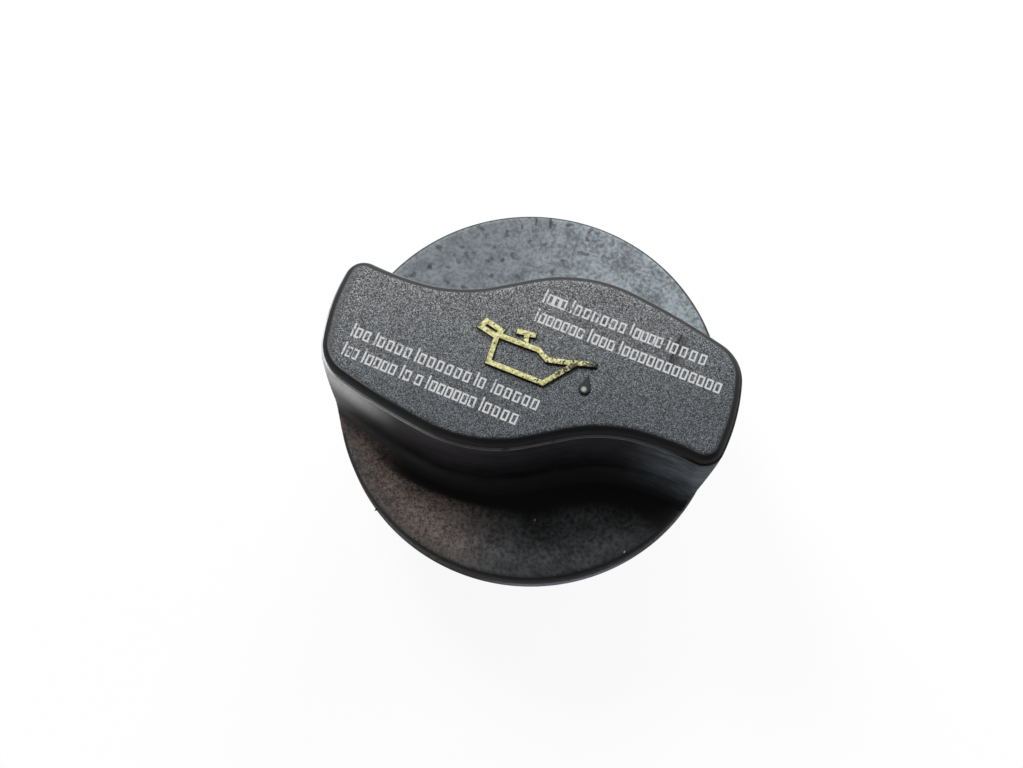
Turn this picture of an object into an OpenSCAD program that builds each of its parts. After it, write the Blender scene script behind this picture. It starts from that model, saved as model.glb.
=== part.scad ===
// Oil filler cap of a car engine: a round cover with a skirt, an S-shaped finger grip moulded
// on top of it, and a hollow neck below with two bayonet lugs. A rubber ring seals it.
// The grip lies along X, the axis of the neck is Z, and Z = 0 is the lower face of the seal,
// which presses on the engine's filler neck.

/* [Cover] */
// Outer diameter of the cover and its skirt
cover_d = 62; // [58:0.5:66]
// Height of the cover's top face above the seal's lower face
cover_top = 6; // [5.8:0.1:7.5]
// Thickness of the cover over the seal
cover_t = 3; // [2.6:0.1:3.6]
// Rounding of the cover's upper edge
cover_edge_r = 1; // [0.8:0.1:2]
// Height of the skirt, from the cover's top face down
skirt_h = 5.6; // [4:0.1:5.7]
// Wall of the skirt
skirt_wall = 2.4; // [1.8:0.1:2.8]

/* [Grip] */
// Height of the grip's top face above the cover
grip_h = 15.9; // [13:0.1:20]
// Length of the grip over its two round ends
grip_span = 64.5; // [62.5:0.5:68]
// Wall of the hollow grip, at its sides and its top
grip_wall = 3; // [2.4:0.1:3.6]
// Rounding of the grip's upper edge
grip_edge_r = 1.5; // [0.8:0.1:1.8]
// Depth of the moulding ledge below the grip's top face
ledge_drop = 2; // [1.9:0.1:3]
// Width of the moulding ledge
ledge_w = 0.35; // [0.2:0.05:0.6]
// Draft of the grip's flanks, in degrees
flank_draft = 5; // [2:0.5:8]
// Rounding at the foot of the flanks
foot_r = 3; // [2:0.1:4]

/* [Grip outline] */
// Place of the narrow dip along the grip, from the axis
dip_x = 19.5; // [18:0.1:21]
// Distance of the dip from the grip's centre line
dip_y = 7.3; // [6.5:0.1:8.5]
// Place of the wide hump along the grip, from the axis
hump_x = 7.5; // [6:0.1:9]
// Distance of the hump from the grip's centre line
hump_y = 15.45; // [14.5:0.05:16.5]
// Radius of the bends at the dip and the hump
bend_r = 23.4; // [22:0.1:24]
// Radius of the hollow edge from the dip to the grip's end
tail_r = 48; // [40:1:60]
// Radius of the flat shoulder from the hump to the grip's other end
shoulder_r = 110; // [90:1:140]
// Slope at which the hump turns into the shoulder, in degrees
shoulder_slope = 12; // [10:0.5:14]
// Rounding of the corner at the end of the tail
tail_corner_r = 2.8; // [2:0.1:3.4]
// Rounding of the corner at the end of the shoulder
shoulder_corner_r = 6.5; // [3:0.1:8]

/* [Neck] */
// Outer diameter of the neck
neck_d = 37; // [35:0.5:39]
// Wall of the neck
neck_wall = 2.6; // [2:0.1:3.2]
// Depth of the neck below the seal's lower face
neck_depth = 15; // [14:0.5:20]
// Chamfer at the neck's lower end
neck_chamfer = 1; // [0.4:0.1:1.5]

/* [Bayonet lugs] */
// Distance by which a lug stands out from the neck
lug_reach = 3; // [2:0.1:4]
// Thickness of a lug
lug_t = 3.5; // [2.5:0.1:4.5]
// Distance from the seal's lower face down to the lugs
lug_gap = 7; // [6:0.1:9]
// Angle that a lug takes up around the neck, in degrees
lug_arc = 50; // [36:1:60]
// Rise of the ramp at the leading end of a lug
lug_ramp = 1.4; // [0.8:0.1:2]
// Turn of the lugs from the grip's direction, in degrees
lug_turn = 65; // [0:1:90]

/* [Seal] */
// Width of the seal, from its inner to its outer edge
seal_w = 4.4; // [3.6:0.1:4.8]
// Depth of the seat that holds the seal in the cover
seal_seat = 0.6; // [0.3:0.1:0.9]
// Rounding of the seal's edges
seal_edge_r = 0.6; // [0.2:0.1:0.9]
// Clearance between the seal and the walls of its seat
seal_gap = 0.1; // [0.05:0.05:0.2]
// Wall between the seal's seat and the hollows of the grip
seat_wall = 1.5; // [1.2:0.1:1.8]

/* [Oil can symbol] */
// Width of the symbol's raised lines
line_w = 0.8; // [0.6:0.05:1]
// Height of the raised lines above the grip
line_h = 0.3; // [0.2:0.05:0.5]
// Thickness of the paint on the raised lines
paint_t = 0.1; // [0.05:0.05:0.2]
// Length of the symbol, from the handle to the drop
symbol_w = 19; // [16:0.5:20]

/* [Printed rows] */
// Turn of the printed rows from the grip's direction, in degrees
print_turn = -6.4; // [-9:0.1:-5]
// Height of a printed bar
bar_h = 1.6; // [1:0.1:2]
// Gap between the bars of a row
bar_gap = 0.8; // [0.4:0.1:1]
// Distance from one row of a block to the next
row_pitch = 3.3; // [2.4:0.1:3.6]
// Thickness of the print
print_t = 0.05; // [0.03:0.01:0.1]

/* [Hidden] */
$fn = 96;
// Small overlap that joins solids, and overshoot that keeps cuts clean
eps = 0.1;
// Depth to which the foot of the grip sinks into the cover
sink = 0.2;
// Depth to which the ends of the grip sink into the skirt
root_depth = 2.5;
// Distance by which the sunk ends stay inside the skirt
root_inset = 0.7;
// Step by which the hollows of the grip are narrower than the bore and the skirt below them
core_step = 0.3;
// Steps of the fillet at the grip's foot and of its rounded upper edge
foot_steps = 5;
top_steps = 5;
// Largest distance between a bend and the chords that it is drawn with
chord_gap = 0.02;

cover_r = cover_d / 2;
cover_bottom = cover_top - cover_t;
skirt_inner_r = cover_r - skirt_wall;
neck_r = neck_d / 2;
bore_r = neck_r - neck_wall;
lug_r = neck_r + lug_reach;
seal_inner_r = neck_r + seal_gap;
seal_r = seal_inner_r + seal_w;
seat_r = seal_r + seal_gap;
hollow_r = seat_r + seat_wall;
grip_r = grip_span / 2 - ledge_w;
grip_top = cover_top + grip_h;
ledge_h = grip_h - ledge_drop;

// The edge of the grip from its right end to its left end is a chain of round bends. Each
// is a centre, a radius (negative where the edge is hollow), and the direction of the
// outward normal at its start and at its end. The other edge is the same, half a turn on.
hump_c = [hump_x, hump_y - bend_r];
dip_c = [-dip_x, dip_y + bend_r];
tail_c = [-dip_x, dip_y + tail_r];
shoulder_a = 90 - shoulder_slope;
shoulder_c = hump_c + (bend_r - shoulder_r) * heading(shoulder_a);
// The straight stretch between hump and dip touches both bends
across = hump_c - dip_c;
straight_a = 90 + asin(2 * bend_r / norm(across)) + angle_of(across);
shoulder_corner_c = corner_centre(shoulder_c, shoulder_r - shoulder_corner_r, shoulder_corner_r, 1);
tail_corner_c = corner_centre(tail_c, tail_r + tail_corner_r, tail_corner_r, -1);
shoulder_end_a = angle_of(shoulder_corner_c - shoulder_c);
tail_end_a = angle_of(tail_c - tail_corner_c);
long_bends = [
    [shoulder_c, shoulder_r, shoulder_end_a, shoulder_a],
    [hump_c, bend_r, shoulder_a, straight_a],
    [dip_c, -bend_r, straight_a, 90],
    [tail_c, -tail_r, 90, tail_end_a],
];
end_bends = [
    [[0, 0], grip_r, angle_of(-tail_corner_c), angle_of(shoulder_corner_c)],
    [shoulder_corner_c, shoulder_corner_r, angle_of(shoulder_corner_c), shoulder_end_a],
    [tail_corner_c, tail_corner_r, tail_end_a, angle_of(tail_corner_c)],
];

// The flank's section, from its sunk foot to the top face: pairs of the distance outward
// from the edge and the height above the cover
foot_c = [
    ledge_w + (ledge_h - foot_r + sink) * tan(flank_draft) + foot_r / cos(flank_draft),
    foot_r - sink,
];
flank = concat(
    [[foot_c.x, -root_depth]],
    [for (i = [0 : foot_steps])
        foot_c - foot_r * heading(90 - (90 - flank_draft) * i / foot_steps)],
    [[ledge_w, ledge_h], [0, ledge_h]],
    [for (i = [0 : top_steps])
        [-grip_edge_r, grip_h - grip_edge_r] + grip_edge_r * heading(90 * i / top_steps)]
);

function heading(a) = [cos(a), sin(a)];
function angle_of(v) = atan2(v.y, v.x);
// Centre of a corner of radius r that touches the grip's round end and a bend whose centre
// is c, at the distance d from that centre, on the side of positive or negative X
function corner_centre(c, d, r, side) =
    let (
        a = grip_r - r,
        l = norm(c),
        t = (l * l + a * a - d * d) / (2 * l),
        h = sqrt(a * a - t * t),
        along = c / l,
        sideways = [-along.y, along.x],
        turn = sideways.x * side > 0 ? 1 : -1
    )
    t * along + turn * h * sideways;
// Points along one bend, at the middles of its steps, with the edge moved outward by off
function bend_points(b, off) =
    let (n = ceil(abs(b[3] - b[2]) / acos(1 - chord_gap / abs(b[1])) / 2))
    [for (i = [0 : n - 1]) b[0] + (b[1] + off) * heading(b[2] + (b[3] - b[2]) * (i + 0.5) / n)];
// Outline of the whole grip, and of its two long edges alone, joined beyond its ends
function grip_points(off) =
    let (half = [for (b = concat([end_bends[0], end_bends[1]], long_bends, [end_bends[2]]))
        each bend_points(b, off)])
    concat(half, -half);
function hollow_points(off) =
    let (half = concat([[grip_span, 0]], [for (b = long_bends) each bend_points(b, off)]))
    concat(half, -half);

// Distance from the axis at which the round ends of the grip lie, by height above the cover.
// Below the cover's face they stay inside the skirt.
function end_r(z) =
    z < -sink ? cover_r - root_inset
    : cover_r - eps / 2 + (grip_r + ledge_w - cover_r + eps) * max(z, 0) / ledge_h;
// Sum of the first n values of a list
function total(list, n) = n == 0 ? 0 : list[n - 1] + total(list, n - 1);
function unit(v) = v / norm(v);
// Corner of a line's edge at point p, half a line's width to one side, on the way from one
// point to the next. At an end of the line, p is also its own neighbour.
function beside(from, p, to, side) =
    let (
        before = p == from ? unit(to - p) : unit(p - from),
        after = p == to ? before : unit(to - p),
        middle = unit(before + after)
    )
    p + side * line_w / 2 / (middle * before) * [-middle.y, middle.x];
function held_in(p, r) = norm(p) > r ? p * r / norm(p) : p;

// Size of the symbol against its drawing, which is 19 long, and the radius of its drop
drawn = symbol_w / 19;
drop_r = line_w;

// Where the two blocks of print start, turned with them, and the lengths of their bars
low_block = [-26.7, -7.4];
low_bars = [[3, 6, 9, 2, 7.5], [2.5, 5.5, 3.5, 8, 6]];
high_block = [-1.9, 9];
high_bars = [[3.7, 8.9, 5.2, 6.3], [7.9, 4.2, 16.4]];

module cap_body() {
    color([0.19, 0.2, 0.21])
    difference() {
        union() {
            cover();
            grip();
            neck();
            for (side = [0, 180]) rotate(lug_turn + side) lug();
            translate([0, 0, grip_top - eps])
                linear_extrude(line_h + eps) { symbol_lines(); symbol_drop(); }
        }
        hollows();
    }
}

module seal_ring() {
    color([0.12, 0.12, 0.13])
    rotate_extrude()
        rounded_box([seal_inner_r, 0], [seal_r, cover_bottom + seal_seat], seal_edge_r);
}

module symbol_paint() {
    color([0.86, 0.84, 0.5])
    translate([0, 0, grip_top + line_h])
        linear_extrude(paint_t) symbol_lines();
}

module print_bars() {
    color([0.72, 0.73, 0.72])
    translate([0, 0, grip_top]) rotate(print_turn) linear_extrude(print_t) {
        print_block(low_block, low_bars);
        print_block(high_block, high_bars);
    }
}

// Cover with its skirt, round at the upper edge
module cover() {
    rotate_extrude() difference() {
        union() {
            translate([0, cover_top - skirt_h]) square([cover_r, skirt_h - cover_edge_r]);
            translate([0, cover_top - skirt_h]) square([cover_r - cover_edge_r, skirt_h]);
            translate([cover_r - cover_edge_r, cover_top - cover_edge_r]) circle(cover_edge_r);
        }
        translate([-eps, cover_top - skirt_h - eps])
            square([skirt_inner_r + eps, skirt_h - cover_t + eps]);
    }
}

// The grip is one closed skin of rings. Each ring is the outline at one height of the flank's
// section, held inside the round ends.
module grip() {
    rings = [for (f = flank) [for (p = grip_points(f.x)) held_in(p, end_r(f.y))]];
    n = len(rings[0]);
    last = len(rings) - 1;
    points = [for (i = [0 : last]) each [for (p = rings[i]) [p.x, p.y, flank[i].y]]];
    sides = [for (i = [0 : last - 1]) each [for (k = [0 : n - 1])
        let (low = i * n, high = low + n, next = (k + 1) % n)
        each [[low + k, high + k, high + next], [low + k, high + next, low + next]]]];
    foot = [for (k = [0 : n - 1]) k];
    top = [for (k = [0 : n - 1]) (last + 1) * n - 1 - k];
    translate([0, 0, cover_top]) polyhedron(points, concat([foot, top], sides));
}

module neck() {
    rotate_extrude() polygon([
        [0, -neck_depth],
        [neck_r - neck_chamfer, -neck_depth],
        [neck_r, -neck_depth + neck_chamfer],
        [neck_r, cover_bottom + eps],
        [0, cover_bottom + eps],
    ]);
}

// One bayonet lug, with a ramp that draws the cap down as it is turned
module lug() {
    root_r = neck_r - neck_wall / 2;
    ramp_l = lug_r * sin(lug_arc / 2);
    difference() {
        rotate([0, 0, -lug_arc / 2]) rotate_extrude(angle = lug_arc)
            translate([root_r, -lug_gap - lug_t]) square([lug_r - root_r, lug_t]);
        rotate([0, 0, lug_arc / 2]) translate([neck_r, 0, -lug_gap])
            rotate([-asin(lug_ramp / ramp_l), 0, 0]) translate([-eps, -ramp_l, -lug_ramp])
                cube([lug_r, 2 * ramp_l, lug_t]);
    }
}

// What is cored out of the body from below: the bore of the neck, the inside of the grip
// above it and near the grip's ends, and the seat of the seal
module hollows() {
    translate([0, 0, -neck_depth - eps]) cylinder(h = neck_depth + cover_bottom + eps, r = bore_r);
    translate([0, 0, cover_bottom - eps]) linear_extrude(grip_top - grip_wall - cover_bottom + eps)
        intersection() {
            polygon(hollow_points(-grip_wall));
            union() {
                circle(bore_r - core_step);
                difference() {
                    circle(skirt_inner_r - core_step);
                    circle(hollow_r);
                }
            }
        }
    translate([0, 0, cover_bottom - eps]) linear_extrude(seal_seat + eps) difference() {
        circle(seat_r);
        circle(neck_r);
    }
}

// Lines of the oil can: the handle's loop, the top with the spout, the side and base that
// rise to the spout again, and the filler's knob
module symbol_lines() {
    line(drawn * [[-8.05, 3.7], [-8.65, 2.6], [-5.9, 1.7]]);
    line(drawn * [[-5.75, 1.9], [-5.4, 2.85], [-7.85, 3.65]]);
    line(drawn * [[-5.5, 2], [0.85, 1.45], [2.5, 0.3], [3.9, 0.45], [9.6, 1.55]]);
    line(drawn * [[-5.85, 1.75], [-5.9, -2.5], [2.9, -3.45], [6.7, 0.75]]);
    line(drawn * [[-1.35, 1.8], [-1.55, 3.4]]);
    line(drawn * [[-2.75, 3.45], [-0.6, 3.5]]);
}

// The drop that falls from the spout
module symbol_drop() {
    translate(drawn * [9.2, -2.5]) {
        circle(drop_r);
        polygon(drop_r * [[-0.9, 0.3], [0.9, 0.3], [0, 2.7]]);
    }
}

// A line of the symbol's width through the given points, with mitred bends and square ends
module line(points) {
    last = len(points) - 1;
    start = points[0] - unit(points[1] - points[0]) * line_w / 2;
    end = points[last] + unit(points[last] - points[last - 1]) * line_w / 2;
    way = [start, each [for (i = [1 : last - 1]) points[i]], end];
    polygon([
        for (i = [0 : last]) beside(way[max(i - 1, 0)], way[i], way[min(i + 1, last)], 1),
        for (i = [last : -1 : 0]) beside(way[max(i - 1, 0)], way[i], way[min(i + 1, last)], -1),
    ]);
}

// Rows of plain bars, one below the other, each bar after the last one and a gap
module print_block(start, rows) {
    for (i = [0 : len(rows) - 1]) for (k = [0 : len(rows[i]) - 1])
        translate(start + [total(rows[i], k) + k * bar_gap, -i * row_pitch])
            square([rows[i][k], bar_h]);
}

// A rectangle between two corners, with its own corners rounded
module rounded_box(low, high, r) {
    size = high - low;
    translate([low.x + r, low.y]) square([size.x - 2 * r, size.y]);
    translate([low.x, low.y + r]) square([size.x, size.y - 2 * r]);
    for (x = [low.x + r, high.x - r]) for (y = [low.y + r, high.y - r]) translate([x, y]) circle(r);
}

cap_body();
seal_ring();
symbol_paint();
print_bars();
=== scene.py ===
import math

import bpy
from mathutils import Matrix, Vector


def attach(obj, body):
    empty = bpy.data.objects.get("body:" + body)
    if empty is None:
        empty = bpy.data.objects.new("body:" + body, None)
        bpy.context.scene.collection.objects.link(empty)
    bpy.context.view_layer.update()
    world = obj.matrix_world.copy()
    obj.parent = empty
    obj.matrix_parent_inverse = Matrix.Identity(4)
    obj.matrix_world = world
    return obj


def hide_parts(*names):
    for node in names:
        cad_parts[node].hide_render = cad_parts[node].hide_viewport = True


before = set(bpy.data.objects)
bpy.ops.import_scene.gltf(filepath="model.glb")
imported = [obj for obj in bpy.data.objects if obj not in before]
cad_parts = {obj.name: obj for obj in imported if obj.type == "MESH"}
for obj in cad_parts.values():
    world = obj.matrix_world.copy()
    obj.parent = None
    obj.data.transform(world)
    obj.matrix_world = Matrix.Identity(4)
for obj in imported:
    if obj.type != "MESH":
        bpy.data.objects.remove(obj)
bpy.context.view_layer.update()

# The finger grip of the cap's one black moulding.
# Glass-filled nylon, moulded in one shot with the cover below it. The flank's section is
# drawn once and swept round the grip's outline, one bend after the other.
MM = 0.001
COVER_R = 31 * MM
COVER_TOP = 6 * MM
GRIP_H = 15.9 * MM
GRIP_TOP = COVER_TOP + GRIP_H
LEDGE_W = 0.35 * MM
LEDGE_DROP = 2 * MM
LEDGE_H = GRIP_H - LEDGE_DROP
LEDGE_R = 0.06 * MM
GRIP_SPAN = 64.5 * MM
GRIP_R = GRIP_SPAN / 2 - LEDGE_W
EDGE_R = 1.5 * MM
FOOT_R = 3 * MM
FOOT_SINK = 0.04 * MM
ROOT_DEPTH = 2.5 * MM
ROOT_INSET = 0.7 * MM
FLAT_RIM = 0.6 * MM
DRAFT = math.radians(5)
FLANK_STEPS = 20
FILLET_STEPS = 14
EDGE_STEPS = 12


def heading(angle):
    """A level direction, one long, at an angle from X."""
    return Vector((math.cos(angle), math.sin(angle), 0))


def angle_of(way):
    return math.atan2(way.y, way.x)


def corner_centre(centre, distance, radius, side):
    """Centre of a corner that touches the grip's round end and a bend, on one side of X."""
    reach = GRIP_R - radius
    span = centre.length
    along = (span ** 2 + reach ** 2 - distance ** 2) / (2 * span)
    sideways = Vector((-centre.y, centre.x, 0)) / span
    if sideways.x * side < 0:
        sideways = -sideways
    return centre / span * along + sideways * math.sqrt(reach ** 2 - along ** 2)


BEND_R = 23.4 * MM
TAIL_R = 48 * MM
SHOULDER_R = 110 * MM
TAIL_CORNER_R = 2.8 * MM
SHOULDER_CORNER_R = 6.5 * MM
DIP = Vector((-19.5, 7.3, 0)) * MM
HUMP = Vector((7.5, 15.45, 0)) * MM
SHOULDER_A = math.radians(78)
hump_c = HUMP - Vector((0, BEND_R, 0))
dip_c = DIP + Vector((0, BEND_R, 0))
tail_c = DIP + Vector((0, TAIL_R, 0))
shoulder_c = hump_c + (BEND_R - SHOULDER_R) * heading(SHOULDER_A)
across = hump_c - dip_c
STRAIGHT_A = math.pi / 2 + math.asin(2 * BEND_R / across.length) + angle_of(across)
straight = dip_c - hump_c - 2 * BEND_R * heading(STRAIGHT_A)
shoulder_corner_c = corner_centre(shoulder_c, SHOULDER_R - SHOULDER_CORNER_R, SHOULDER_CORNER_R, 1)
tail_corner_c = corner_centre(tail_c, TAIL_R + TAIL_CORNER_R, TAIL_CORNER_R, -1)
shoulder_end_a = angle_of(shoulder_corner_c - shoulder_c)
tail_end_a = angle_of(tail_c - tail_corner_c)
start_a = angle_of(-tail_corner_c)
# Each bend: its centre, the turn of the outward normal round it, and its number of steps
edge_bends = [
    (shoulder_c, SHOULDER_A - shoulder_end_a, 14),
    (hump_c, STRAIGHT_A - SHOULDER_A, 28),
    (straight, None, 4),
    (dip_c, math.pi / 2 - STRAIGHT_A, 20),
    (tail_c, tail_end_a - math.pi / 2, 14),
]
outline_bends = (
    [(Vector(), angle_of(shoulder_corner_c) - start_a, 20),
     (shoulder_corner_c, shoulder_end_a - angle_of(shoulder_corner_c), 26)]
    + edge_bends
    + [(tail_corner_c, angle_of(tail_corner_c) - tail_end_a, 20)]
)


def draw_chain(name, points, closed=False):
    """A chain of edges through the points, drawn one after the other, left in edit mode."""
    bpy.ops.object.select_all(action="DESELECT")
    bpy.ops.mesh.primitive_plane_add(size=MM)
    drawn = bpy.context.object
    drawn.name = name
    bpy.ops.object.mode_set(mode="EDIT")
    bpy.ops.mesh.select_mode(type="VERT")
    bpy.ops.mesh.select_all(action="SELECT")
    bpy.ops.mesh.merge(type="CENTER")
    bpy.ops.transform.translate(value=points[0])
    for here, after in zip(points, points[1:]):
        bpy.ops.mesh.extrude_vertices_move(TRANSFORM_OT_translate={"value": after - here})
    bpy.ops.mesh.select_all(action="SELECT")
    if closed:
        bpy.ops.mesh.edge_face_add()
    return drawn


def sweep(bends, half):
    """Sweeps what is selected along bends. The second half is the first, half a turn on."""
    for centre, turn, steps in bends:
        place = -centre if half else centre
        if turn is None:
            for _ in range(steps):
                bpy.ops.mesh.extrude_region_move(TRANSFORM_OT_translate={"value": place / steps})
        else:
            bpy.ops.mesh.spin(steps=steps, angle=-turn, center=place, axis=(0, 0, 1))


def close_skin():
    """Merges doubles, fills what is open and turns the faces outward, then leaves edit mode."""
    bpy.ops.mesh.select_all(action="SELECT")
    bpy.ops.mesh.remove_doubles(threshold=0.002 * MM)
    bpy.ops.mesh.select_all(action="DESELECT")
    bpy.ops.mesh.select_non_manifold(extend=False)
    bpy.ops.mesh.edge_face_add()
    bpy.ops.mesh.select_all(action="SELECT")
    bpy.ops.mesh.normals_make_consistent(inside=False)
    bpy.ops.object.mode_set(mode="OBJECT")


def arc(centre, radius, start, end, steps):
    """Points on an arc in the section's plane: X is the distance outward, Y the height."""
    return [centre + radius * heading(start + (end - start) * i / steps) for i in range(steps + 1)]


foot_c = Vector((
    LEDGE_W + (LEDGE_H - FOOT_R + FOOT_SINK) * math.tan(DRAFT) + FOOT_R / math.cos(DRAFT),
    FOOT_R - FOOT_SINK,
    0,
))
flank_low = foot_c - FOOT_R * heading(DRAFT)
flank_high = Vector((LEDGE_W, LEDGE_H - LEDGE_R, 0))
section = (
    [Vector((foot_c.x, -ROOT_DEPTH, 0))]
    + arc(foot_c, FOOT_R, -math.pi / 2, DRAFT - math.pi, FILLET_STEPS)
    + [flank_low.lerp(flank_high, i / FLANK_STEPS) for i in range(1, FLANK_STEPS)]
    + arc(Vector((LEDGE_W - LEDGE_R, LEDGE_H - LEDGE_R, 0)), LEDGE_R, 0, math.pi / 2, 4)
    + arc(Vector((LEDGE_R / 2, LEDGE_H + LEDGE_R / 2, 0)), LEDGE_R / 2, -math.pi / 2, -math.pi, 3)
    + arc(Vector((-EDGE_R, GRIP_H - EDGE_R, 0)), EDGE_R, 0, math.pi / 2, EDGE_STEPS)
    + [Vector((-EDGE_R - FLAT_RIM, GRIP_H, 0))]
)
start_line = [heading(start_a) * (GRIP_R + p.x) + Vector((0, 0, COVER_TOP + p.y)) for p in section]
cap = draw_chain("cap_body_moulding", start_line)
sweep(outline_bends, half=False)
sweep(outline_bends, half=True)
close_skin()
# The grip's round ends lean out from the cover's rim to the ledge
INSIDE_RIM = 0.03 * MM
for vertex in cap.data.vertices:
    height = vertex.co.z - COVER_TOP
    lean = (GRIP_R + LEDGE_W - COVER_R) * max(height, 0) / LEDGE_H
    limit = COVER_R - ROOT_INSET if height < -FOOT_SINK * 2 else COVER_R - INSIDE_RIM + lean
    distance = math.hypot(vertex.co.x, vertex.co.y)
    if distance > limit and height < LEDGE_H - LEDGE_R * 1.5:
        vertex.co.x *= limit / distance
        vertex.co.y *= limit / distance

# The round cover with its skirt, and the hollow neck below it.
# Part of the same moulding: a round shape, so its section is drawn once and turned about
# the axis. The seat of the seal is a shallow groove in the cover's underside.
COVER_BOTTOM = 3 * MM
COVER_EDGE_R = 1 * MM
SKIRT_BOTTOM = COVER_TOP - 5.6 * MM
SKIRT_INNER_R = COVER_R - 2.4 * MM
NECK_R = 18.5 * MM
BORE_R = NECK_R - 2.6 * MM
NECK_END = -15 * MM
NECK_CHAMFER = 1 * MM
SEAL_INNER_R = NECK_R + 0.1 * MM
SEAL_R = SEAL_INNER_R + 4.4 * MM
SEAT_R = SEAL_R + 0.1 * MM
SEAT_DEPTH = 0.6 * MM
SOFT_R = 0.3 * MM
TURN_STEPS = 224


def at(radius, height):
    """A point of a turned section, drawn in the plane of X and Z."""
    return Vector((radius, 0, height))


def turned_arc(centre_r, centre_h, radius, start, end, steps):
    """Points on an arc of a turned section, from one angle to the other, in degrees."""
    angles = [math.radians(start + (end - start) * i / steps) for i in range(steps + 1)]
    return [at(centre_r + radius * math.cos(a), centre_h + radius * math.sin(a)) for a in angles]


def turn_solid(name, points):
    """A solid turned about the axis from its drawn section."""
    solid = draw_chain(name, points)
    bpy.ops.mesh.spin(steps=TURN_STEPS, angle=-2 * math.pi, center=(0, 0, 0), axis=(0, 0, 1))
    close_skin()
    return solid


def combine(target, tool, operation, crossed=False):
    """Joins the tool to the target, or cuts it away. Its faces may cross one another."""
    bpy.ops.object.select_all(action="DESELECT")
    bpy.context.view_layer.objects.active = target
    target.select_set(True)
    step = target.modifiers.new("combine", "BOOLEAN")
    step.operation = operation
    step.solver = "EXACT"
    step.use_self = crossed
    step.object = tool
    bpy.ops.object.modifier_apply(modifier=step.name)
    bpy.data.objects.remove(tool)


cover_section = (
    [at(0, COVER_TOP), at(COVER_R - COVER_EDGE_R - FLAT_RIM, COVER_TOP)]
    + turned_arc(COVER_R - COVER_EDGE_R, COVER_TOP - COVER_EDGE_R, COVER_EDGE_R, 90, 0, 12)
    + turned_arc(COVER_R - SOFT_R, SKIRT_BOTTOM + SOFT_R, SOFT_R, 0, -90, 4)
    + turned_arc(SKIRT_INNER_R + SOFT_R, SKIRT_BOTTOM + SOFT_R, SOFT_R, -90, -180, 4)
    + [at(SKIRT_INNER_R, COVER_BOTTOM), at(SEAT_R, COVER_BOTTOM)]
    + [at(SEAT_R, COVER_BOTTOM + SEAT_DEPTH), at(NECK_R, COVER_BOTTOM + SEAT_DEPTH)]
    + [at(NECK_R, NECK_END + NECK_CHAMFER), at(NECK_R - NECK_CHAMFER, NECK_END)]
    + turned_arc(BORE_R + SOFT_R, NECK_END + SOFT_R, SOFT_R, -90, -180, 4)
    + [at(BORE_R, COVER_BOTTOM), at(0, COVER_BOTTOM)]
)
cover = turn_solid("cover", cover_section)
combine(cap, cover, "UNION")

# Two bayonet lugs stand out from the neck, half a turn apart.
# They are moulded on, and slide under the rim of the engine's filler neck. The upper face
# of each is cut to a ramp that draws the cap down.
LUG_R = NECK_R + 3 * MM
LUG_TOP = -7 * MM
LUG_T = 3.5 * MM
LUG_ARC = math.radians(50)
LUG_TURN = math.radians(65)
LUG_RAMP = 1.4 * MM
LUG_ROOT = 1.3 * MM
for half_turn in (0, math.pi):
    middle = LUG_TURN + half_turn
    root = heading(middle - LUG_ARC / 2) * (NECK_R - LUG_ROOT)
    tip = heading(middle - LUG_ARC / 2) * LUG_R
    low, high = Vector((0, 0, LUG_TOP - LUG_T)), Vector((0, 0, LUG_TOP))
    lug = draw_chain("lug", [root + low, tip + low, tip + high, root + high], closed=True)
    bpy.ops.mesh.spin(steps=24, angle=-LUG_ARC, center=(0, 0, 0), axis=(0, 0, 1))
    close_skin()
    bpy.ops.object.mode_set(mode="EDIT")
    bpy.ops.mesh.select_all(action="SELECT")
    ramp_l = LUG_R * math.sin(LUG_ARC / 2)
    slope = math.asin(LUG_RAMP / ramp_l)
    leading = heading(middle + LUG_ARC / 2) * NECK_R + Vector((0, 0, LUG_TOP - LUG_RAMP))
    along = heading(middle + LUG_ARC / 2 + math.pi / 2)
    bpy.ops.mesh.bisect(
        plane_co=leading,
        plane_no=along * math.sin(slope) + Vector((0, 0, math.cos(slope))),
        use_fill=True,
        clear_outer=True,
    )
    bpy.ops.object.mode_set(mode="OBJECT")
    combine(cap, lug, "UNION")

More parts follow.
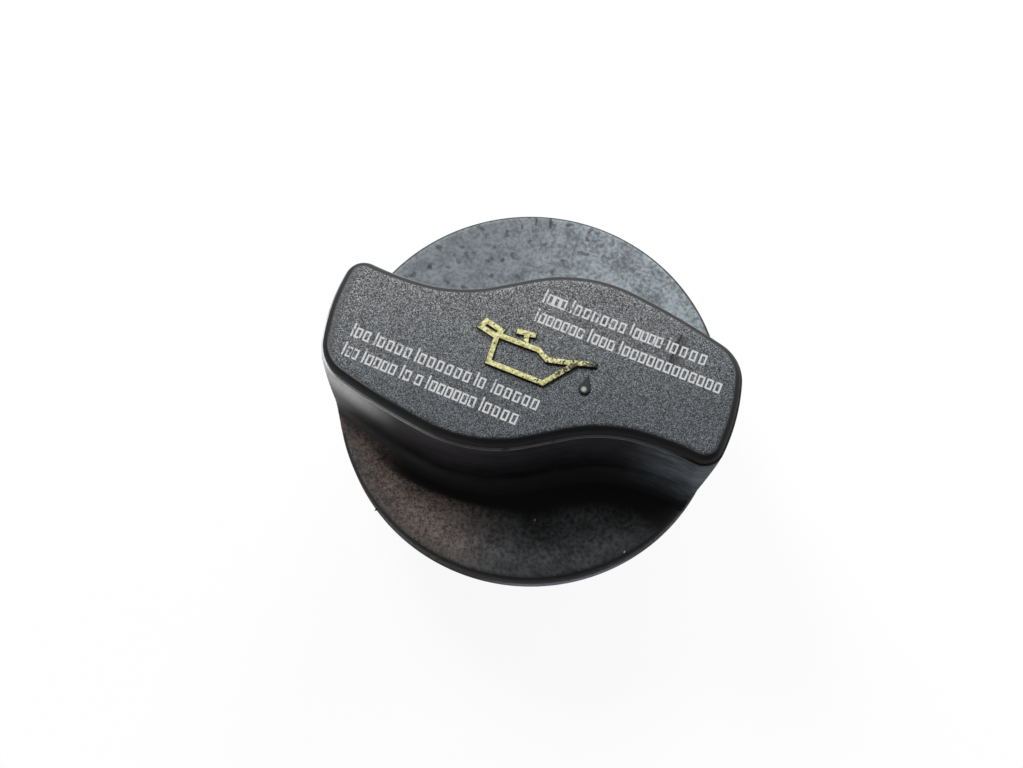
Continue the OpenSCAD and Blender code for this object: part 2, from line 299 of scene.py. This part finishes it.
# The hollow inside the grip, cored out from below.
# The mould's core leaves a wall of 3 mm. It follows the two long edges of the grip, and
# reaches up through the bore, and in two slots between the seal and the skirt.
GRIP_WALL = 3 * MM
CORE_STEP = 0.3 * MM
CORE_RUN_IN = Vector((5, -1.5, 0)) * MM
CORE_RUN_OUT = Vector((-4, -0.5, 0)) * MM
SLOT_INNER_R = SEAT_R + 1.5 * MM
for inner_r, outer_r in ((0, BORE_R - CORE_STEP), (SLOT_INNER_R, SKIRT_INNER_R - CORE_STEP)):
    low = COVER_BOTTOM - CORE_STEP
    high = GRIP_TOP - GRIP_WALL
    start = shoulder_c + (SHOULDER_R - GRIP_WALL) * heading(shoulder_end_a) + Vector((0, 0, low))
    core = draw_chain("core", [start + CORE_RUN_IN, start])
    bpy.ops.mesh.select_all(action="DESELECT")
    bpy.ops.object.mode_set(mode="OBJECT")
    core.data.vertices[1].select = True
    bpy.ops.object.mode_set(mode="EDIT")
    sweep(edge_bends, half=False)
    bpy.ops.mesh.extrude_vertices_move(TRANSFORM_OT_translate={"value": CORE_RUN_OUT})
    bpy.ops.mesh.select_all(action="SELECT")
    bpy.ops.mesh.spin(steps=1, angle=math.pi, dupli=True, center=(0, 0, 0), axis=(0, 0, 1))
    bpy.ops.mesh.select_all(action="SELECT")
    bpy.ops.mesh.bridge_edge_loops()
    bpy.ops.mesh.select_all(action="SELECT")
    bpy.ops.mesh.extrude_region_move(TRANSFORM_OT_translate={"value": (0, 0, high - low)})
    close_skin()
    ring = turn_solid("ring", [
        at(inner_r, low - CORE_STEP), at(outer_r, low - CORE_STEP),
        at(outer_r, high + CORE_STEP), at(inner_r, high + CORE_STEP), at(inner_r, low - CORE_STEP),
    ])
    combine(core, ring, "INTERSECT")
    combine(cap, core, "DIFFERENCE")

# The pictogram of an oil can stands 0.3 mm proud of the grip, with a plain drop beside it.
# It is moulded on, so its raised strokes are joined to the body here. The strokes are the
# paint's own outline, carried down into the grip.
RELIEF_TOP = 22.2 * MM
RELIEF_ROOT = GRIP_TOP - 0.4 * MM
DROP_R = 0.8 * MM
DROP_PLACE = Vector((9.2, -2.5, 0)) * MM
DROP_TIP = 2.16 * MM
STROKE_SOFT = 0.09 * MM
STROKE_FOOT_W = 0.14 * MM
STROKE_FOOT_TOP = GRIP_TOP + 0.07 * MM
STROKE_FOOT_ROOT = GRIP_TOP - 0.3 * MM


def copy_of_node(name, node):
    """A merged copy of a CAD node's mesh, which is loose triangles, as a new object."""
    piece = bpy.data.objects.new(name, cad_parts[node].data.copy())
    bpy.context.scene.collection.objects.link(piece)
    bpy.ops.object.select_all(action="DESELECT")
    bpy.context.view_layer.objects.active = piece
    piece.select_set(True)
    bpy.ops.object.mode_set(mode="EDIT")
    bpy.ops.mesh.select_all(action="SELECT")
    bpy.ops.mesh.remove_doubles(threshold=0.001 * MM)
    bpy.ops.mesh.dissolve_limited(angle_limit=math.radians(1))
    bpy.ops.object.mode_set(mode="OBJECT")
    piece.data.materials.clear()
    return piece


def set_heights(piece, low, high):
    """Moves the lower half of a flat piece to one height and the upper half to another."""
    heights = [v.co.z for v in piece.data.vertices]
    middle = (min(heights) + max(heights)) / 2
    for vertex in piece.data.vertices:
        vertex.co.z = low if vertex.co.z < middle else high


def soften(piece, width, segments=2):
    """Rounds a piece's edges, as the mould's engraving tool leaves them."""
    step = piece.modifiers.new("soften", "BEVEL")
    step.width = width
    step.segments = segments
    step.limit_method = "ANGLE"
    step.angle_limit = math.radians(50)
    bpy.ops.object.select_all(action="DESELECT")
    bpy.context.view_layer.objects.active = piece
    piece.select_set(True)
    bpy.ops.object.modifier_apply(modifier=step.name)


def drop_solid(name, radius, tip, high):
    """The falling drop, from inside the grip up to a height."""
    low = Vector((0, 0, RELIEF_ROOT))
    belly = arc(DROP_PLACE, radius, math.radians(158), math.radians(382), 20)
    points = [p + low for p in belly + [DROP_PLACE + Vector((0, tip, 0))]]
    drop = draw_chain(name, points, closed=True)
    bpy.ops.mesh.extrude_region_move(TRANSFORM_OT_translate={"value": (0, 0, high - low.z)})
    close_skin()
    return drop


strokes = copy_of_node("strokes", "symbol_paint")
set_heights(strokes, RELIEF_ROOT, RELIEF_TOP)
soften(strokes, STROKE_SOFT)
drop = drop_solid("drop", DROP_R, DROP_TIP, RELIEF_TOP)
soften(drop, STROKE_SOFT)
# A thin step runs round the foot of each stroke, dark with dirt and a painted shadow. It is
# tall while it is made wider, and then gets its own heights.
foot = copy_of_node("stroke_foot", "symbol_paint")
set_heights(foot, GRIP_TOP - 2 * MM, GRIP_TOP)
bpy.ops.object.mode_set(mode="EDIT")
bpy.ops.mesh.select_all(action="SELECT")
bpy.ops.transform.shrink_fatten(value=STROKE_FOOT_W, use_even_offset=True)
bpy.ops.object.mode_set(mode="OBJECT")
set_heights(foot, STROKE_FOOT_ROOT, STROKE_FOOT_TOP)
foot_r = DROP_R + STROKE_FOOT_W
foot_tip = DROP_TIP + 2 * STROKE_FOOT_W
drop_foot = drop_solid("drop_foot", foot_r, foot_tip, STROKE_FOOT_TOP)
combine(foot, strokes, "UNION", crossed=True)
for piece in (foot, drop_foot, drop):
    combine(cap, piece, "UNION")
bpy.ops.object.mode_set(mode="EDIT")
close_skin()

# Flash left on the cover's rim, where the halves of the mould met.
# A few thin slivers of the same plastic, cut short when the moulding was trimmed.
BURR_Z = 4.2 * MM
BURR_ROOT = 0.3 * MM
BURR_WIDE = 0.32 * MM
BURR_TIP = 0.05 * MM
BURR_FLATNESS = 0.5
# Each sliver: its place round the rim in degrees, and how far it stands out in millimetres
burrs = (
    (-125.1, 0.50), (-104.2, 0.25), (-101.5, 0.20), (-97.0, 0.15),
    (-62.0, 0.15), (-34.8, 0.30), (-22.0, 0.20),
)
for angle, reach in burrs:
    way = heading(math.radians(angle))
    bpy.ops.object.select_all(action="DESELECT")
    bpy.ops.mesh.primitive_cone_add(vertices=10, radius1=BURR_WIDE, radius2=BURR_TIP, depth=1)
    burr = bpy.context.object
    depth = reach * MM + BURR_ROOT
    turn = way.to_track_quat("Z", "Y").to_matrix().to_4x4()
    place = Matrix.Translation(way * (COVER_R + reach * MM - depth / 2) + Vector((0, 0, BURR_Z)))
    burr.data.transform(place @ turn @ Matrix.Diagonal((1, BURR_FLATNESS, depth, 1)))
    combine(cap, burr, "UNION")

# The black plastic's finish, the same on the whole moulding.
# Glass-filled nylon: the grip's top face is spark-eroded to a fine sparkling grain, the
# flanks are smooth and rubbed, and the cover is dull, pitted and browned by oil and heat. Its
# colour also holds painted light: a painted sheen, painted highlights and painted shadows.


class Signal:
    """One output of a finish's nodes, which Python's signs can work with."""

    def __init__(self, finish, socket):
        self.finish = finish
        self.socket = socket

    def math(self, operation, *values):
        return self.finish.node("Math", {"operation": operation}, dict(enumerate(values)))

    def __add__(self, other):
        return self.math("ADD", self, other)

    def __sub__(self, other):
        return self.math("SUBTRACT", self, other)

    def __rsub__(self, other):
        return self.math("SUBTRACT", other, self)

    def __mul__(self, other):
        return self.math("MULTIPLY", self, other)

    def __truediv__(self, other):
        return self.math("DIVIDE", self, other)

    def __abs__(self):
        return self.math("ABSOLUTE", self)

    __radd__ = __add__
    __rmul__ = __mul__


class Finish:
    """A material's nodes. Places are the object's own, in millimetres."""

    def __init__(self, name):
        self.material = bpy.data.materials.new(name)
        self.material.use_nodes = True
        self.tree = self.material.node_tree
        self.tree.nodes.clear()
        self.shader = self.tree.nodes.new("ShaderNodeBsdfPrincipled")
        end = self.tree.nodes.new("ShaderNodeOutputMaterial")
        self.tree.links.new(self.shader.outputs[0], end.inputs[0])
        metres = self.node("TexCoord", output="Object")
        self.place = self.node("VectorMath", {"operation": "SCALE"}, {0: metres, "Scale": 1 / MM})
        self.x, self.y, self.z = [
            self.node("SeparateXYZ", {}, {0: self.place}, axis) for axis in range(3)
        ]

    def node(self, kind, settings=None, inputs=None, output=0):
        """Adds a node, sets it, feeds its sockets and gives one of its outputs."""
        made = self.tree.nodes.new("ShaderNode" + kind)
        for name, value in (settings or {}).items():
            setattr(made, name, value)
        for name, value in (inputs or {}).items():
            self.feed(made.inputs[name], value)
        return Signal(self, made.outputs[output])

    def feed(self, socket, value):
        if isinstance(value, Signal):
            self.tree.links.new(value.socket, socket)
        else:
            socket.default_value = value

    def noise(self, scale, detail=2, stretch=(1, 1, 1), offset=(0, 0, 0), roughness=0.5):
        """Noise between 0 and 1, with scale waves in a millimetre."""
        settled = {"Vector": self.place, "Scale": stretch, "Location": offset}
        place = self.node("Mapping", {}, settled)
        sizes = {"Vector": place, "Scale": scale, "Detail": detail, "Roughness": roughness}
        return self.node("TexNoise", {}, sizes)

    def rise(self, value, low, high, to=1):
        """0 where the value is at low, rising smoothly to 1 at high, or falling if low > high."""
        flip = low > high
        ends = (high, low) if flip else (low, high)
        result = (to, 0) if flip else (0, to)
        numbers = {"Value": value, 1: ends[0], 2: ends[1], 3: result[0], 4: result[1]}
        return self.node("MapRange", {"interpolation_type": "SMOOTHSTEP"}, numbers)

    def mix(self, share, first, second):
        """The first colour turning to the second as share goes from 0 to 1."""
        return self.node("Mix", {"data_type": "RGBA"}, {0: share, 6: first, 7: second}, 2)

    def cells(self, scale):
        """A level between 0 and 1 by chance for each cell, with scale cells in a millimetre."""
        colour = self.node("TexVoronoi", {}, {"Vector": self.place, "Scale": scale}, "Color")
        return self.node("SeparateColor", {}, {0: colour})

    def distance(self, x, y):
        """Distance seen from above, from a point in millimetres."""
        flat = self.node("CombineXYZ", {}, {0: self.x, 1: self.y})
        return self.node("VectorMath", {"operation": "DISTANCE"}, {0: flat, 1: (x, y, 0)}, "Value")

    def bump(self, height, depth):
        """A normal roughened by a height between 0 and 1, with its depth in millimetres."""
        return self.node("Bump", {}, {"Height": height, "Distance": depth * MM, "Strength": 1.0})

    def mark(self, start, end, width, fade=0.6):
        """1 along a straight mark seen from above, fading at its ends and sides."""
        length = math.dist(start, end)
        ux, uy = (end[0] - start[0]) / length, (end[1] - start[1]) / length
        along = (self.x - start[0]) * ux + (self.y - start[1]) * uy
        across = abs((self.x - start[0]) * uy - (self.y - start[1]) * ux)
        ends = self.rise(abs(along - length / 2), length / 2 + fade / 2, length / 2 - fade / 2)
        return self.rise(across, width, width * 0.3) * ends

    def set(self, **sockets):
        for name, value in sockets.items():
            self.feed(self.shader.inputs[name.replace("_", " ")], value)


def grey(level, blue=0.0):
    return (level * (1 - blue), level, level * (1 + blue), 1)


black = Finish("black_plastic")
# The finish changes with the height above the seal, in millimetres. Dust and painted shade stay
# outside.
top = black.rise(black.z, 21.70, 21.88)
edge_shade = black.rise(black.z, 19.93, 20.05) * (1 - top)
ledge = black.rise(black.z, 19.72, 19.86) * black.rise(black.z, 20.02, 19.92)
flank = black.rise(black.z, 6.1, 7.5) * black.rise(black.z, 19.9, 19.7)
hollow = black.rise(black.distance(-7.5, 7.95), 23, 21)
hollow = hollow * black.rise(black.distance(7.5, -7.95), 23, 21)
cover_face = black.rise(black.z, 7.0, 6.05) * black.rise(black.z, 4.3, 5.9) * (1 - hollow)
radius = black.distance(0, 0)
grain = black.noise(7.0, 1)
fine = black.noise(3.2, 2, offset=(7, 3, 1))
mottle = black.noise(0.45, 3, offset=(3, 9, 2))
# The top face sparkles with a fine grain. Its pale grains are painted paler towards the back and
# the left, a painted sheen, and it is smooth in a margin round its left end, rubbed by hands.
margin = black.rise(radius, 29.4, 30.4) * black.rise(black.x, 0, -6)
shine = black.cells(10)
speckle = shine * shine * shine * (1 - margin * 0.6) + margin * 0.05
left_back = black.rise(black.y * 1.9 - black.x * 0.5, -22, 26)
top_sheen = black.mix(left_back, grey(0.295, 0.12), grey(0.590, 0.04))
top_tone = black.mix(speckle, grey(0.010, 0.06), top_sheen)
# The cover is dusty and mottled with dark spots, and has a brown stain in front on the left. Its
# far side is painted paler and bluer, most to the right, a painted sheen, and in front it is
# painted darker towards the right, a painted shade
behind = black.rise(black.y, -6, 10)
blotch = black.rise(black.noise(1.5, 4, offset=(6, 6, 2), roughness=0.7) + mottle * 0.5, 0.55, 0.97)
rightward = black.rise(black.x, -16, 10)
far_sheen = black.mix(rightward, (0.205, 0.240, 0.260, 1), (0.345, 0.405, 0.435, 1))
near_shade = black.mix(black.rise(black.x, -12, 6), grey(0.33, 0.02), grey(0.190, 0.05))
dark_dust_and_sheen = black.mix(behind, grey(0.030, 0.05), grey(0.110, 0.12))
dust_and_sheen = black.mix(blotch, dark_dust_and_sheen, black.mix(behind, near_shade, far_sheen))
stain = black.rise(black.x, 6, -12) * black.rise(black.y, 2, -8)
brown_level = black.rise(fine + blotch * 0.3, 0.35, 0.95)
brown = black.mix(brown_level, (0.065, 0.052, 0.048, 1), (0.42, 0.315, 0.28, 1))
cover_tone = black.mix(stain, dust_and_sheen, brown)
spot_noise = black.noise(0.6, 4, offset=(1, 4, 7)) - black.rise(black.x, -4, 16, 0.12)
spots = black.rise(spot_noise, 0.57, 0.68)
cover_tone = black.mix(spots * behind * 0.7, cover_tone, grey(0.022, 0.1))
# The cover is darker towards its rim in front
darker_front_rim = black.rise(radius, 26.5, 30.2) * (1 - behind) * 0.6
cover_tone = black.mix(darker_front_rim, cover_tone, grey(0.022, 0.15))
# A painted shadow darkens the cover in front along the foot of the grip, where its shadow falls
from_hump = black.distance(-7.5, 7.95) - 27.7
from_dip = 19.1 - black.distance(19.5, -30.7)
turn_share = black.rise(black.x, 2, 9)
from_foot = from_hump * (1 - turn_share) + from_dip * turn_share
shadow_width = 1.2 + black.rise(black.x, -10, 14, 3.2)
painted_shadow = black.rise(from_foot / shadow_width, 1.25, 0.45)
painted_shadow = painted_shadow * black.rise(black.y, 0, -8) * black.rise(black.x, -25, -14)
cover_tone = black.mix(painted_shadow, cover_tone, grey(0.004))
# The flanks are black with faint streaks. Near the grip's right end they are painted paler, a
# painted light, and towards their foot they are painted darker, a painted shade. At the left end
# the near flank is painted pale below the ledge, a painted highlight.
flank_streaks = black.noise(0.5, 3, stretch=(0.35, 0.35, 2.2), offset=(2, 2, 8))
scratches = black.noise(1.6, 3, stretch=(0.3, 0.3, 1.6), offset=(5, 1, 3), roughness=0.7)
rubbed = black.rise(flank_streaks * 0.5 + scratches * 0.5, 0.36, 0.66)
lit_right_end = black.rise(black.x, 16, 27)
lit_left_end = black.rise(black.x, -16, -26) * black.rise(black.z, 11.0, 18.0)
lit_left_end = lit_left_end * black.rise(black.y, -4, -9)
flank_dark = black.mix(lit_right_end, (0.007, 0.006, 0.008, 1), grey(0.050, 0.14))
flank_light = black.mix(lit_right_end, (0.036, 0.031, 0.040, 1), grey(0.245, 0.15))
flank_tone = black.mix(rubbed, flank_dark, flank_light)
flank_tone = black.mix(black.rise(black.z, 14.0, 7.0) * 0.55, flank_tone, grey(0.005, 0.1))
left_highlight = black.mix(black.rise(fine, 0.3, 0.6), grey(0.50, 0.04), grey(0.72, 0.0))
flank_tone = black.mix(lit_left_end, flank_tone, left_highlight)
tone = black.mix(cover_face, flank_tone, cover_tone)
# The rim's rounding is painted dark, a painted shade, and the side of the skirt is paler and
# bluer low down in front
rim_shade = black.rise(black.z, 5.96, 5.75) * black.rise(black.z, 4.6, 5.0) * black.rise(radius, 29.2, 29.8)
tone = black.mix(rim_shade, tone, grey(0.010, 0.1))
pale_skirt_front = black.rise(black.z, 3.9, 2.2) * black.rise(black.distance(14, -27.5), 16, 5)
pale_skirt_front = pale_skirt_front * black.rise(fine, 0.1, 0.5) * black.rise(radius, 29.6, 30.2)
tone = black.mix(pale_skirt_front, tone, (0.38, 0.37, 0.44, 1))
tone = black.mix(top, tone, top_tone)
# The top face's rounded edge is painted near black, a painted shade
tone = black.mix(edge_shade, tone, grey(0.002, 0.05))
# The ledge carries a painted highlight, brightest in front on the left, and is painted dark at its
# right end, a painted shade
ledge_glint_front_left = black.rise(black.x, -6, -17) * black.rise(black.y, 2, -4)
ledge_highlight = black.mix(ledge_glint_front_left, grey(0.30, 0.05), grey(0.95, 0.02))
ledge_highlight = black.mix(black.rise(black.x, 23, 28), ledge_highlight, grey(0.03))
tone = black.mix(ledge * black.rise(mottle, 0.15, 0.4), tone, ledge_highlight)
# The raised strokes are dark, with dirt and a painted shadow at their foot, and rubbed grey on
# top where no paint covers them
raised_and_foot_shade = black.rise(black.z, 21.93, 21.97)
rubbed_top = black.rise(black.z, 22.10, 22.18) * black.rise(black.distance(9.1, -2.6), 0.55, 0.2)
tone = black.mix(raised_and_foot_shade, tone, black.mix(rubbed_top, grey(0.012), grey(0.42, 0.0)))
# Dark marks: the start and end of each in millimetres, its width and its depth. The first two
# are a score across the print and its soft shadow, the last two scratches beside the symbol,
# and the others cracks and pits in the cover.
for start, end, width, depth in (
    ((21.0, 10.2), (20.2, 4.6), 0.26, 1.0),
    ((21.6, 10.0), (20.9, 5.0), 1.1, 0.6),
    ((-5.4, 30.4), (-4.9, 28.2), 0.35, 0.8),
    ((0.1, 29.3), (0.1, 24.3), 0.28, 0.35),
    ((-7.6, 29.5), (-7.4, 28.2), 0.25, 0.8),
    ((-9.6, 27.6), (-9.4, 26.8), 0.30, 0.6),
    ((-18.1, 20.6), (-17.9, 21.1), 0.45, 0.7),
    ((-12.9, 22.1), (-12.7, 22.6), 0.40, 0.6),
    ((-11.0, 20.3), (-10.8, 20.8), 0.45, 0.7),
    ((-22.2, 15.6), (-22.0, 16.1), 0.50, 0.8),
    ((-13.6, 7.9), (-13.5, 6.5), 0.2, 0.8),
    ((-11.8, 7.9), (-11.7, 6.2), 0.2, 0.8),
):
    tone = black.mix(black.mark(start, end, width) * depth, tone, grey(0.008))
# A pale scratch that leaves the score, and two white specks of dust on the cover
tone = black.mix(black.mark((21.2, 10.1), (24.2, 9.6), 0.14) * 0.4, tone, grey(0.30, 0.05))
for x, y in ((6.76, -20.36), (21.55, -21.22)):
    tone = black.mix(black.mark((x, y - 0.15), (x + 0.05, y + 0.2), 0.16, 0.2), tone, grey(0.7))
gloss = 0.62 - flank * 0.18 + fine * 0.06
relief = grain * top * (1 - margin) * 0.9 + fine * cover_face * 0.3 + rubbed * flank * 0.1
black.set(Base_Color=tone, Roughness=gloss, Normal=black.bump(relief, 0.035))
cap.data.materials.clear()
cap.data.materials.append(black.material)
# The moulding is shaded smooth, and its flat faces rule the shading at their edges
bpy.ops.object.select_all(action="DESELECT")
cap.select_set(True)
bpy.context.view_layer.objects.active = cap
bpy.ops.object.shade_smooth_by_angle(angle=math.radians(38))
weights = cap.modifiers.new("weights", "WEIGHTED_NORMAL")
weights.keep_sharp = True
bpy.ops.object.modifier_apply(modifier=weights.name)
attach(cap, "root")
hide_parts("cap_body")

# Yellow paint on the pictogram's raised strokes.
# A hard roller coats only the proud strokes, and not the drop. It is chipped, and rubbed
# thin towards the spout.
PAINT_TOP = 22.3 * MM
PAINT_ROOT = RELIEF_TOP - 0.04 * MM
PAINT_SOFT = 0.07 * MM
paint = copy_of_node("symbol_paint_film", "symbol_paint")
set_heights(paint, PAINT_ROOT, PAINT_TOP)
soften(paint, PAINT_SOFT)
bpy.ops.object.shade_smooth_by_angle(angle=math.radians(60))
yellow = Finish("yellow_paint")
chips = yellow.noise(2.4, 4, offset=(1, 6, 3), roughness=0.7)
thin = yellow.noise(2.2, 3, offset=(4, 2, 9), roughness=0.65)
paint_tone = yellow.mix(yellow.rise(thin, 0.36, 0.62), (0.50, 0.47, 0.12, 1), (0.84, 0.82, 0.47, 1))
worn = chips - yellow.rise(yellow.x, 7, 1) * 0.11
paint_tone = yellow.mix(yellow.rise(worn, 0.45, 0.51), paint_tone, (0.05, 0.05, 0.03, 1))
# The end of the spout has lost its paint
bare = yellow.rise(yellow.x, 8.7, 9.1)
bare_tone = yellow.mix(yellow.rise(chips, 0.5, 0.6), grey(0.012), grey(0.25))
paint_tone = yellow.mix(bare, paint_tone, bare_tone)
paint_relief = yellow.bump(chips + thin * 0.5, 0.04)
yellow.set(Base_Color=paint_tone, Roughness=0.55 + thin * 0.2, Normal=paint_relief)
paint.data.materials.append(yellow.material)
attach(paint, "root")
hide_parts("symbol_paint")

# Pale print on the grip, in two blocks of two rows made of small plain frames.
# A pad-printed film 0.05 mm thick, worn by hands. In each group a taller stroke comes first,
# and then one frame is drawn and copied along the row.
PRINT_T = 0.05 * MM
STROKE_W = 0.28 * MM
STROKE_H = 2.25 * MM
FRAME_SIZE = Vector((1.05, 1.7, 0)) * MM
FRAME_PITCH = 1.36 * MM
GROUP_GAP = 0.8 * MM
ROW_PITCH = 3.3 * MM
PRINT_TURN = math.radians(-6.4)
# Each block: its upper left corner, and the lengths of its groups in millimetres, row by row
print_blocks = (
    (Vector((-26.7, -7.4, 0)) * MM, ((3, 6, 9, 2, 7.5), (2.5, 5.5, 3.5, 8, 6))),
    (Vector((-1.9, 9, 0)) * MM, ((3.7, 8.9, 5.2, 6.3), (7.9, 4.2, 16.4))),
)


def print_shape(corner, size, frame_only):
    """A flat printed rectangle with its corner at a place, or only its frame."""
    bpy.ops.object.select_all(action="DESELECT")
    bpy.ops.mesh.primitive_plane_add(size=1)
    shape = bpy.context.object
    bpy.ops.object.mode_set(mode="EDIT")
    bpy.ops.mesh.select_all(action="SELECT")
    bpy.ops.transform.resize(value=(size.x, size.y, 1))
    bpy.ops.transform.translate(value=corner + size / 2 + Vector((0, 0, GRIP_TOP)))
    if frame_only:
        bpy.ops.mesh.inset(thickness=STROKE_W, depth=0)
        bpy.ops.mesh.delete(type="FACE")
        bpy.ops.mesh.select_all(action="SELECT")
    bpy.ops.mesh.extrude_region_move(TRANSFORM_OT_translate={"value": (0, 0, PRINT_T)})
    bpy.ops.mesh.select_all(action="SELECT")
    bpy.ops.mesh.normals_make_consistent(inside=False)
    bpy.ops.object.mode_set(mode="OBJECT")
    return shape


groups = []
for corner, rows in print_blocks:
    for row, lengths in enumerate(rows):
        start = 0
        for length in lengths:
            place = corner + Vector((start, -row * ROW_PITCH, 0))
            groups.append(print_shape(place, Vector((STROKE_W, STROKE_H, 0)), False))
            place.x += FRAME_PITCH - FRAME_SIZE.x + STROKE_W
            group = print_shape(place, FRAME_SIZE, True)
            room = length * MM - (place.x - corner.x - start) - FRAME_SIZE.x
            count = max(1, round(room / FRAME_PITCH) + 1)
            step = group.modifiers.new("frames", "ARRAY")
            step.use_relative_offset = False
            step.use_constant_offset = True
            step.constant_offset_displace = (room / max(count - 1, 1), 0, 0)
            step.count = count
            bpy.ops.object.modifier_apply(modifier=step.name)
            groups.append(group)
            start += length * MM + GROUP_GAP
for group in groups:
    group.data.transform(Matrix.Rotation(PRINT_TURN, 4, "Z"))
bpy.ops.object.select_all(action="DESELECT")
for group in groups:
    group.select_set(True)
print_marks = groups[0]
print_marks.name = "print_marks"
bpy.context.view_layer.objects.active = print_marks
bpy.ops.object.join()
pale = Finish("pale_print")
rub = pale.noise(1.4, 4, offset=(8, 2, 5), roughness=0.7)
pale_tone = pale.mix(pale.rise(rub, 0.56, 0.64), grey(0.66, 0.0), grey(0.16, 0.03))
pale.set(Base_Color=pale_tone, Roughness=0.6 + rub * 0.1, Normal=pale.bump(rub, 0.02))
print_marks.data.materials.append(pale.material)
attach(print_marks, "root")
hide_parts("print_bars")

# The seal below the cover, a moulded ring of black rubber.
# It sits in the seat round the neck, and its lower face meets the engine's filler rim.
SEAL_EDGE_R = 0.6 * MM
seal_mid_r = (SEAL_INNER_R + SEAL_R) / 2
inner = SEAL_INNER_R + SEAL_EDGE_R
outer = SEAL_R - SEAL_EDGE_R
seal_high = COVER_BOTTOM + SEAT_DEPTH
seal_section = (
    [at(seal_mid_r, seal_high)]
    + turned_arc(outer, seal_high - SEAL_EDGE_R, SEAL_EDGE_R, 90, 0, 6)
    + turned_arc(outer, SEAL_EDGE_R, SEAL_EDGE_R, 0, -90, 6)
    + [at(seal_mid_r, 0)]
    + turned_arc(inner, SEAL_EDGE_R, SEAL_EDGE_R, -90, -180, 6)
    + turned_arc(inner, seal_high - SEAL_EDGE_R, SEAL_EDGE_R, 180, 90, 6)
    + [at(seal_mid_r, seal_high)]
)
seal = turn_solid("seal_ring_rubber", seal_section)
bpy.ops.object.shade_smooth_by_angle(angle=math.radians(40))
rubber = Finish("seal_rubber")
bloom = rubber.noise(0.6, 3, offset=(2, 7, 1))
skin = rubber.noise(6, 2)
rubber_tone = rubber.mix(rubber.rise(bloom, 0.4, 0.7), grey(0.018), grey(0.035, 0.03))
rubber.set(Base_Color=rubber_tone, Roughness=0.55 + bloom * 0.2, Normal=rubber.bump(skin, 0.01))
seal.data.materials.append(rubber.material)
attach(seal, "root")
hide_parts("seal_ring")

# The pale floor that the cap stands on, a sheet of white paper.
# It looks white to the camera, and keeps the cap's soft shadow.
FLOOR_SIZE = 2.4
FLOOR_GLOW = 1.03
GLOW_SHARE = 0.9
bpy.ops.object.select_all(action="DESELECT")
bpy.ops.mesh.primitive_plane_add(size=FLOOR_SIZE, location=(0, 0, 0))
floor = bpy.context.object
floor.name = "floor"
floor.data.transform(Matrix.Translation((0, 0, NECK_END)))
paper = Finish("paper_white")
fibre = paper.noise(0.02, 2)
paper.set(Base_Color=paper.mix(fibre, grey(0.80), grey(0.83)), Roughness=0.9)
seen = paper.node("LightPath", output="Is Camera Ray")
white = paper.node("Emission", {}, {"Color": grey(1), "Strength": FLOOR_GLOW})
plain = Signal(paper, paper.shader.outputs[0])
both = paper.node("MixShader", {}, {0: seen * GLOW_SHARE, 1: plain, 2: white})
paper.feed(paper.tree.nodes["Material Output"].inputs[0], both)
floor.data.materials.append(paper.material)

# Plain soft studio light, mostly from behind on the left, and the photograph's camera.
# The camera's place, turn and lens come from a fit to the cap's outline.
SKY_LEVEL = 0.10
world = bpy.data.worlds.new("studio")
bpy.context.scene.world = world
world.use_nodes = True
sky = world.node_tree
background = sky.nodes["Background"]
background.inputs["Color"].default_value = (1, 1, 1, 1)
path = sky.nodes.new("ShaderNodeLightPath")
strength = sky.nodes.new("ShaderNodeMix")
strength.inputs[2].default_value = SKY_LEVEL
strength.inputs[3].default_value = 1.0
sky.links.new(path.outputs["Is Camera Ray"], strength.inputs[0])
sky.links.new(strength.outputs[0], background.inputs["Strength"])


def soft_light(name, azimuth, elevation, power, size, distance=0.8):
    """A square area light that faces the cap, placed by its two angles in degrees."""
    a, e = math.radians(azimuth), math.radians(elevation)
    way = Vector((math.cos(e) * math.cos(a), math.cos(e) * math.sin(a), math.sin(e)))
    lamp = bpy.data.lights.new(name, "AREA")
    lamp.energy = power
    lamp.size = size
    light = bpy.data.objects.new(name, lamp)
    light.location = way * distance
    light.rotation_euler = way.to_track_quat("Z", "Y").to_euler()
    bpy.context.scene.collection.objects.link(light)


soft_light("window_behind_left", 135, 41, 5.4, 0.3)
soft_light("low_behind", 90, 25, 3.3, 0.3)
soft_light("low_behind_right", 45, 25, 1.5, 0.3)
soft_light("low_front_left", 225, 10, 0.5, 0.3)

CAMERA_PLACE = Vector((20.12, -69.62, 229.71)) * MM
CAMERA_AZIMUTH = math.radians(-71.51)
CAMERA_ELEVATION = math.radians(71.8)
ROLL = math.radians(1.82)
look = -heading(CAMERA_AZIMUTH) * math.cos(CAMERA_ELEVATION)
look.z = -math.sin(CAMERA_ELEVATION)
level = look.cross(Vector((0, 0, 1))).normalized()
upward = level.cross(look)
side = level * math.cos(ROLL) - upward * math.sin(ROLL)
upward = level * math.sin(ROLL) + upward * math.cos(ROLL)
lens = bpy.data.cameras.new("camera")
lens.lens = 51.23
lens.sensor_width = 36
lens.clip_start = 0.01
camera = bpy.data.objects.new("camera", lens)
axes = Matrix((side, upward, -look)).transposed().to_4x4()
camera.matrix_world = Matrix.Translation(CAMERA_PLACE) @ axes
bpy.context.scene.collection.objects.link(camera)
bpy.context.scene.camera = camera
bpy.context.scene.view_settings.view_transform = "Standard"
